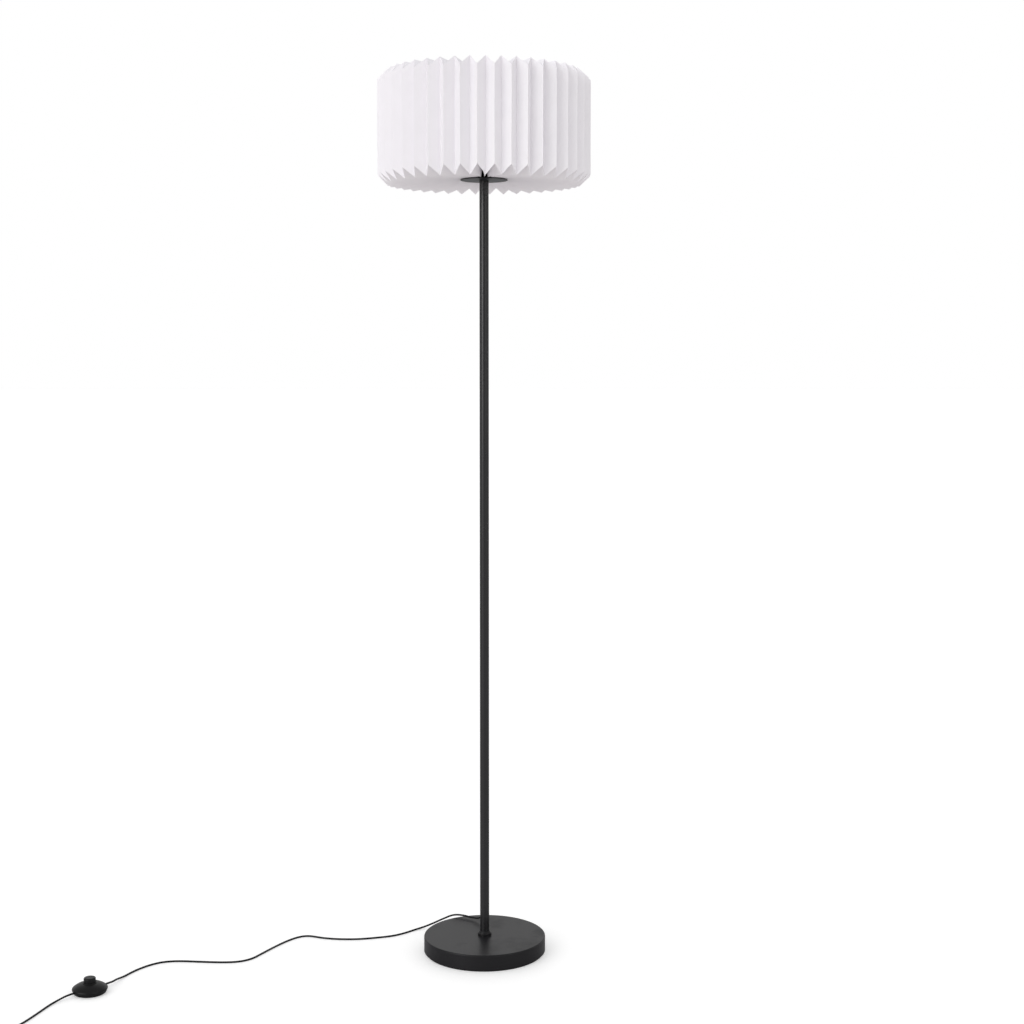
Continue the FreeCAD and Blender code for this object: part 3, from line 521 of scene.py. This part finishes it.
def fold_paper(sizes):
    """The whole sheet as vertices, faces and the pairs of vertices along its creases."""
    rows = shade_rows(sizes)
    folds = 2 * sizes.pleats
    step = math.pi / sizes.pleats
    around = folds * COLUMNS
    spots, faces, creases = [], [], set()
    for level, (ridge, valley, free, _corner) in enumerate(rows):
        reach = min(ridge[0], valley[0]) / sizes.ridge
        for column in range(around):
            fold, part = divmod(column, COLUMNS)
            share = part / COLUMNS
            first, second = (ridge, valley) if fold % 2 == 0 else (valley, ridge)
            turn = sizes.first_fold - math.pi / 2 + (fold + share) * math.pi / sizes.pleats
            before, after = turn - share * step, turn + (1 - share) * step
            start = fold_spot(sizes, fold, level, before, first, reach)
            end = fold_spot(sizes, (fold + 1) % folds, level, after, second, reach)
            bow = math.sin(math.pi * share) * (0.35 + 0.65 * free)
            bow *= sizes.puff * reach * (0.6 + noise.noise(Vector((fold * 2.3, 1, level * 0.2))))
            inward = Vector((math.cos(turn), math.sin(turn), 0)) * -bow
            spots.append(start.lerp(end, share) + inward)
    for level in range(len(rows) - 1):
        here, below = level * around, (level + 1) * around
        at_corner = rows[level][3] and level
        for column in range(around):
            after = (column + 1) % around
            faces.append((here + column, below + column, below + after, here + after))
            if column % COLUMNS == 0:
                creases.add((here + column, below + column))
            if at_corner:
                creases.add(tuple(sorted((here + column, here + after))))
    return spots, faces, creases


class LANTERN_OT_shade(bpy.types.Operator):
    """Fold the paper shade: pleated wall, tucked rims and gathered fans"""

    bl_idname = "lantern.shade"
    bl_label = "Paper shade"

    def execute(self, context):
        sizes = context.scene.lantern_shade
        spots, faces, creases = fold_paper(sizes)
        mesh = bpy.data.meshes.new("shade_paper")
        mesh.from_pydata(spots, [], faces)
        mesh.shade_smooth()
        for edge in mesh.edges:
            edge.use_edge_sharp = tuple(sorted(edge.vertices)) in creases
        paper = bpy.data.objects.new("shade_paper", mesh)
        context.scene.collection.objects.link(paper)
        thicken = paper.modifiers.new("paper", "SOLIDIFY")
        thicken.thickness = sizes.paper
        thicken.offset = -1
        dress(paper, washi())
        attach(paper, "shade")
        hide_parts("paper_crown", "paper_wall", "paper_foot")
        return {"FINISHED"}


# ------------------------------------------------------------------ the cord

POLE_TO_SWITCH = [
    (0, 28, 55), (0, 41, 55), (-3, 53, 46), (-10, 65, 35.5), (-24, 79, 32),
    (-40, 89.5, 33), (-58, 98, 31.5), (-76, 104.5, 22), (-95, 111.5, 11),
    (-112, 113, 3.5), (-128, 104, 1.6), (-147, 83.5, 1.6), (-168, 69, 1.6),
    (-192, 61.5, 1.6), (-224, 53, 1.6), (-258, 52.5, 1.6), (-288, 58, 1.6),
    (-305, 66, 1.6), (-320, 71, 1.6), (-336, 64, 1.6), (-354, 42, 1.6),
    (-372, 11, 1.6), (-388, -20, 1.6), (-401, -46, 1.6), (-420, -60, 1.6),
    (-446, -63.5, 1.6), (-486, -60.5, 1.6), (-526, -56, 1.6), (-553, -61, 1.6),
    (-573, -77, 1.6), (-591, -102, 1.6), (-603.5, -131, 1.7), (-611, -151.5, 5.0),
    (-613.84, -167.44, 6.5), (-623.74, -177.34, 6.5),
]  # fmt: skip
SWITCH_TO_COIL = [
    (-663.06, -216.66, 6.5), (-672.25, -225.85, 6.5), (-684, -238, 3.2),
    (-694, -256, 1.6), (-701, -282, 1.6), (-708.5, -308, 1.6), (-716, -331.5, 1.7),
    (-727.5, -355.5, 2.2), (-737, -384, 2.4),
]  # fmt: skip
COIL_LAYERS = (9, 9, 9, 8)  # quarter turns in each layer, wound in and out by turns
POINTS_A_QUARTER = 4
TAIL = ((0, 13.8), (9, 13.8), (24, 11.6), (40, 7.4), (50, 7))  # reach and height, in mm
TIE_TURN = math.radians(-20)
TIE_HALF_WIDTH = 2.5 * MM
TIE_THICKNESS = 0.3 * MM
TIE_CORNER = 3.2 * MM


def coil_quarters(sizes):
    """The coil's quarter turns as (angle turned, radius, rise)."""
    spots = [(0.0, sizes.coil, 0.0)]
    inward = -1
    for layer, quarters in enumerate(COIL_LAYERS):
        steps = [(inward * sizes.step, 0.0)] * quarters
        if layer < len(COIL_LAYERS) - 1:
            steps += [(0.0, sizes.rise / 2)] * 2
        for out, up in steps:
            turned, radius, rise = spots[-1]
            spots.append((turned + math.pi / 2, radius + out, rise + up))
        inward = -inward
    return spots


def coil_place(sizes):
    """Where the coil starts, its heading there and its centre."""
    before, start = (Vector(spot) * MM for spot in SWITCH_TO_COIL[-2:])
    heading = math.atan2(start.y - before.y, start.x - before.x)
    side = Vector((-math.sin(heading), math.cos(heading), 0))
    return start, heading, start + side * sizes.coil


def coil_points(sizes):
    """Control points of the coil, then of the tail that leads to the plug."""
    start, heading, centre = coil_place(sizes)
    quarters = coil_quarters(sizes)
    hug = 1 / math.cos(math.pi / 4 / POINTS_A_QUARTER)
    points = []
    for first, second in zip(quarters, quarters[1:]):
        for part in range(POINTS_A_QUARTER):
            share = (part + 0.5) / POINTS_A_QUARTER
            turned, radius, rise = (a + (b - a) * share for a, b in zip(first, second))
            angle = heading - math.pi / 2 + turned
            spot = Vector((math.cos(angle), math.sin(angle), 0)) * radius * hug
            points.append(centre + spot + Vector((0, 0, rise)))
    turned, radius, _rise = quarters[-1]
    angle = heading - math.pi / 2 + turned
    end = centre + Vector((math.cos(angle), math.sin(angle), 0)) * radius
    along = Vector((-math.sin(angle), math.cos(angle), 0))
    for reach, height in TAIL:
        spot = end + along * reach * MM
        points.append(Vector((spot.x, spot.y, height * MM)))
    return points


def lay_cord(name, points, radius, material):
    curve = bpy.data.curves.new(name, "CURVE")
    curve.dimensions = "3D"
    curve.resolution_u = 12
    curve.bevel_depth = radius
    curve.bevel_resolution = 5
    curve.use_fill_caps = True
    spline = curve.splines.new("NURBS")
    spline.points.add(len(points) - 1)
    for point, spot in zip(spline.points, points):
        point.co = (*spot, 1)
    spline.order_u = 3
    spline.use_endpoint_u = True
    piece = bpy.data.objects.new(name, curve)
    bpy.context.scene.collection.objects.link(piece)
    dress(piece, material)
    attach(piece, "lamp")
    return piece


class LANTERN_OT_cord(bpy.types.Operator):
    """Lay the cord from the pole to the foot switch, and on through its coil to the plug"""

    bl_idname = "lantern.cord"
    bl_label = "Cord"

    def execute(self, context):
        sizes = context.scene.lantern_cord
        sheath = vinyl_sheath()
        near_points = [Vector(spot) * MM for spot in POLE_TO_SWITCH]
        far_points = [Vector(spot) * MM for spot in SWITCH_TO_COIL] + coil_points(sizes)
        near = lay_cord("cord_near", near_points, sizes.radius, sheath)
        far = lay_cord("cord_far", far_points, sizes.radius, sheath)
        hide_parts("cord_to_switch")
        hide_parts("cord_from_switch", "cord_coil", "cord_to_plug")
        switch = ["switch_cover", "switch_base", "switch_block", "switch_spring"]
        switch += ["switch_button", "switch_cord_clamps", "switch_clamp_screws"]
        plug = ["plug_body", "plug_relief", "plug_pins", "plug_pin_sleeves"]
        [NODES[name] for name in plug] + [make_tie(sizes)]
        return {"FINISHED"}


def make_tie(sizes):
    """A woven band round the coil's turns, with its loose end lapped over."""
    _start, _heading, centre = coil_place(sizes)
    spare = 0.8 * MM
    inner = sizes.coil - max(COIL_LAYERS) * sizes.step - sizes.radius - spare
    outer = sizes.coil + sizes.radius + spare
    top = 3 * sizes.rise + 2.4 * MM + sizes.radius + 0.5 * MM
    bottom = 0.35 * MM
    corner = TIE_CORNER
    path = []
    corners = (
        (outer - corner, top - corner, 0),
        (inner + corner, top - corner, 90),
        (inner + corner, bottom + corner, 180),
        (outer - corner, bottom + corner, 270),
    )
    for across, up, start in corners:
        for part in range(7):
            angle = math.radians(start + part * 15)
            path.append((across + corner * math.cos(angle), up + corner * math.sin(angle)))
    path += [  # the lapped end, up the outside and back over the top
        (outer + 0.06 * MM, top * 0.55),
        (outer + 0.36 * MM, top * 0.62),
        (outer - 0.1 * MM, top - 2.4 * MM),
        (outer - 2.6 * MM, top + 0.4 * MM),
        (inner + 5 * MM, top + 0.42 * MM),
    ]
    half = TIE_HALF_WIDTH
    widths = (-half, -half * 0.8, 0.0, half * 0.8, half)
    turn = Vector((math.cos(TIE_TURN), math.sin(TIE_TURN), 0))
    side = Vector((-turn.y, turn.x, 0))
    spots = [
        centre + turn * across + side * wide + Vector((0, 0, up - centre.z))
        for across, up in path
        for wide in widths
    ]
    row = len(widths)
    faces = [
        (a * row + b, a * row + b + 1, (a + 1) * row + b + 1, (a + 1) * row + b)
        for a in range(len(path) - 1)
        for b in range(row - 1)
    ]
    mesh = bpy.data.meshes.new("tie_band")
    mesh.from_pydata(spots, [], faces)
    mesh.shade_smooth()
    band = bpy.data.objects.new("tie_band", mesh)
    bpy.context.scene.collection.objects.link(band)
    thicken = band.modifiers.new("thickness", "SOLIDIFY")
    thicken.thickness = TIE_THICKNESS
    thicken.offset = 0
    smooth = band.modifiers.new("rounding", "SUBSURF")
    smooth.levels = smooth.render_levels = 1
    dress(band, woven_band())
    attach(band, "lamp")
    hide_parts("coil_tie")
    return band


# ------------------------------------------------------------------ finishes and stage

KEY_FROM = Vector((-0.8, -0.9, 0.45))  # towards the key light from the lamp
FLOOR_REACH = 60


class LANTERN_OT_finishes(bpy.types.Operator):
    """Give every turned, pressed and moulded piece its finish"""

    bl_idname = "lantern.finishes"
    bl_label = "Finishes"

    def execute(self, context):
        for material, names in finish_table().items():
            for name in names.split():
                dress(NODES[name], material)
        return {"FINISHED"}


class LANTERN_OT_stage(bpy.types.Operator):
    """Set the white studio, its soft light and the camera"""

    bl_idname = "lantern.stage"
    bl_label = "Stage"

    def execute(self, context):
        settings = context.scene.lantern_stage
        scene = context.scene
        scene.view_settings.view_transform = "Standard"
        self.light_room(scene, settings)
        self.lay_floor(scene, settings)
        lamp = bpy.data.lights.new("key", "SUN")
        lamp.energy = settings.key
        lamp.angle = math.radians(50)
        key = bpy.data.objects.new("key", lamp)
        key.rotation_euler = KEY_FROM.to_track_quat("Z", "Y").to_euler()
        scene.collection.objects.link(key)
        camera = bpy.data.objects.new("camera", bpy.data.cameras.new("camera"))
        camera.data.lens = settings.lens
        camera.data.sensor_width = 36
        camera.data.shift_y = -settings.drop
        camera.location = settings.place
        camera.rotation_euler = (math.pi / 2 - settings.tilt, 0, 0)
        scene.collection.objects.link(camera)
        scene.camera = camera
        return {"FINISHED"}

    def light_room(self, scene, settings):
        """White to the eye, a plain soft light, and softboxes in what gloss shows."""
        room = bpy.data.worlds.new("room")
        scene.world = room
        made = Finish(room)
        rays = made.add("ShaderNodeLightPath").socket.node.outputs
        camera, clear, glossy = (
            Signal(made, rays[name])
            for name in ("Is Camera Ray", "Is Transmission Ray", "Is Glossy Ray")
        )
        across, along, up = made.parts(0)
        front = (along * -1).step(0.1, 0.5)
        left_box = (across * -1).step(0.45, 0.62) * (across + 0.95).step(0.0, 0.2) * front
        right_box = across.step(0.5, 0.62) * (0.92 - across).step(0.0, 0.15) * front
        shine = left_box * 1.6 + right_box * 0.8 + along.step(0.3, 0.9) * 0.35 + 0.36
        high = up.step(0.25, 0.9)
        plain = made.blend(high, (settings.ambient,) * 3, dimmed((settings.ambient,) * 3, 0.8))
        tone = made.blend(glossy, plain, made.grey(shine))
        tone = made.blend(camera.most(clear), tone, (1, 1, 1))
        backdrop = made.add("ShaderNodeBackground", None, {0: tone, 1: 1.0})
        made.add("ShaderNodeOutputWorld", None, {0: backdrop})

    def lay_floor(self, scene, settings):
        """A white floor that keeps the lamp's shadow."""
        made = new_finish("studio_floor")
        rays = made.add("ShaderNodeLightPath").socket.node.outputs
        camera = Signal(made, rays["Is Camera Ray"])
        glossy = Signal(made, rays["Is Glossy Ray"])
        tone = made.blend(glossy, (0.79, 0.765, 0.755), (0.4, 0.4, 0.41))
        material = made.coat(
            Base_Color=made.blend(camera, tone, (0.8, 0.8, 0.8)),
            Roughness=0.55,
            Specular_IOR_Level=0.25,
            Emission_Color=made.blend(camera, (0, 0, 0), (settings.lift,) * 3),
            Emission_Strength=1.0,
        )
        mesh = bpy.data.meshes.new("studio_floor")
        far = FLOOR_REACH
        corners = [(-far, -far, 0), (far, -far, 0), (far, far, 0), (-far, far, 0)]
        mesh.from_pydata(corners, [], [(0, 1, 2, 3)])
        floor = bpy.data.objects.new("studio_floor", mesh)
        scene.collection.objects.link(floor)
        dress(floor, material)


OPERATORS = (LANTERN_OT_shade, LANTERN_OT_cord, LANTERN_OT_finishes, LANTERN_OT_stage)


class LANTERN_PT_pieces(bpy.types.Panel):
    """Buttons and settings for the lamp's pieces"""

    bl_label = "Lantern Lamp"
    bl_idname = "LANTERN_PT_pieces"
    bl_space_type = "VIEW_3D"
    bl_region_type = "UI"
    bl_category = "Lantern Lamp"

    def draw(self, context):
        layout = self.layout
        for operator in OPERATORS:
            layout.operator(operator.bl_idname)
        for settings in ("lantern_shade", "lantern_cord", "lantern_stage"):
            group = getattr(context.scene, settings)
            column = layout.column()
            for name in group.__annotations__:
                column.prop(group, name)


GROUPS = {
    "lantern_shade": ShadeSizes,
    "lantern_cord": CordSizes,
    "lantern_stage": StageSettings,
}


def register():
    for kind in (*GROUPS.values(), *OPERATORS, LANTERN_PT_pieces):
        bpy.utils.register_class(kind)
    for name, group in GROUPS.items():
        setattr(bpy.types.Scene, name, PointerProperty(type=group))


def unregister():
    for name in GROUPS:
        delattr(bpy.types.Scene, name)
    for kind in (LANTERN_PT_pieces, *reversed(OPERATORS), *GROUPS.values()):
        bpy.utils.unregister_class(kind)


def main():
    register()
    bpy.ops.lantern.shade()
    bpy.ops.lantern.cord()
    bpy.ops.lantern.finishes()
    bpy.ops.lantern.stage()


if __name__ == "__main__":
    main()
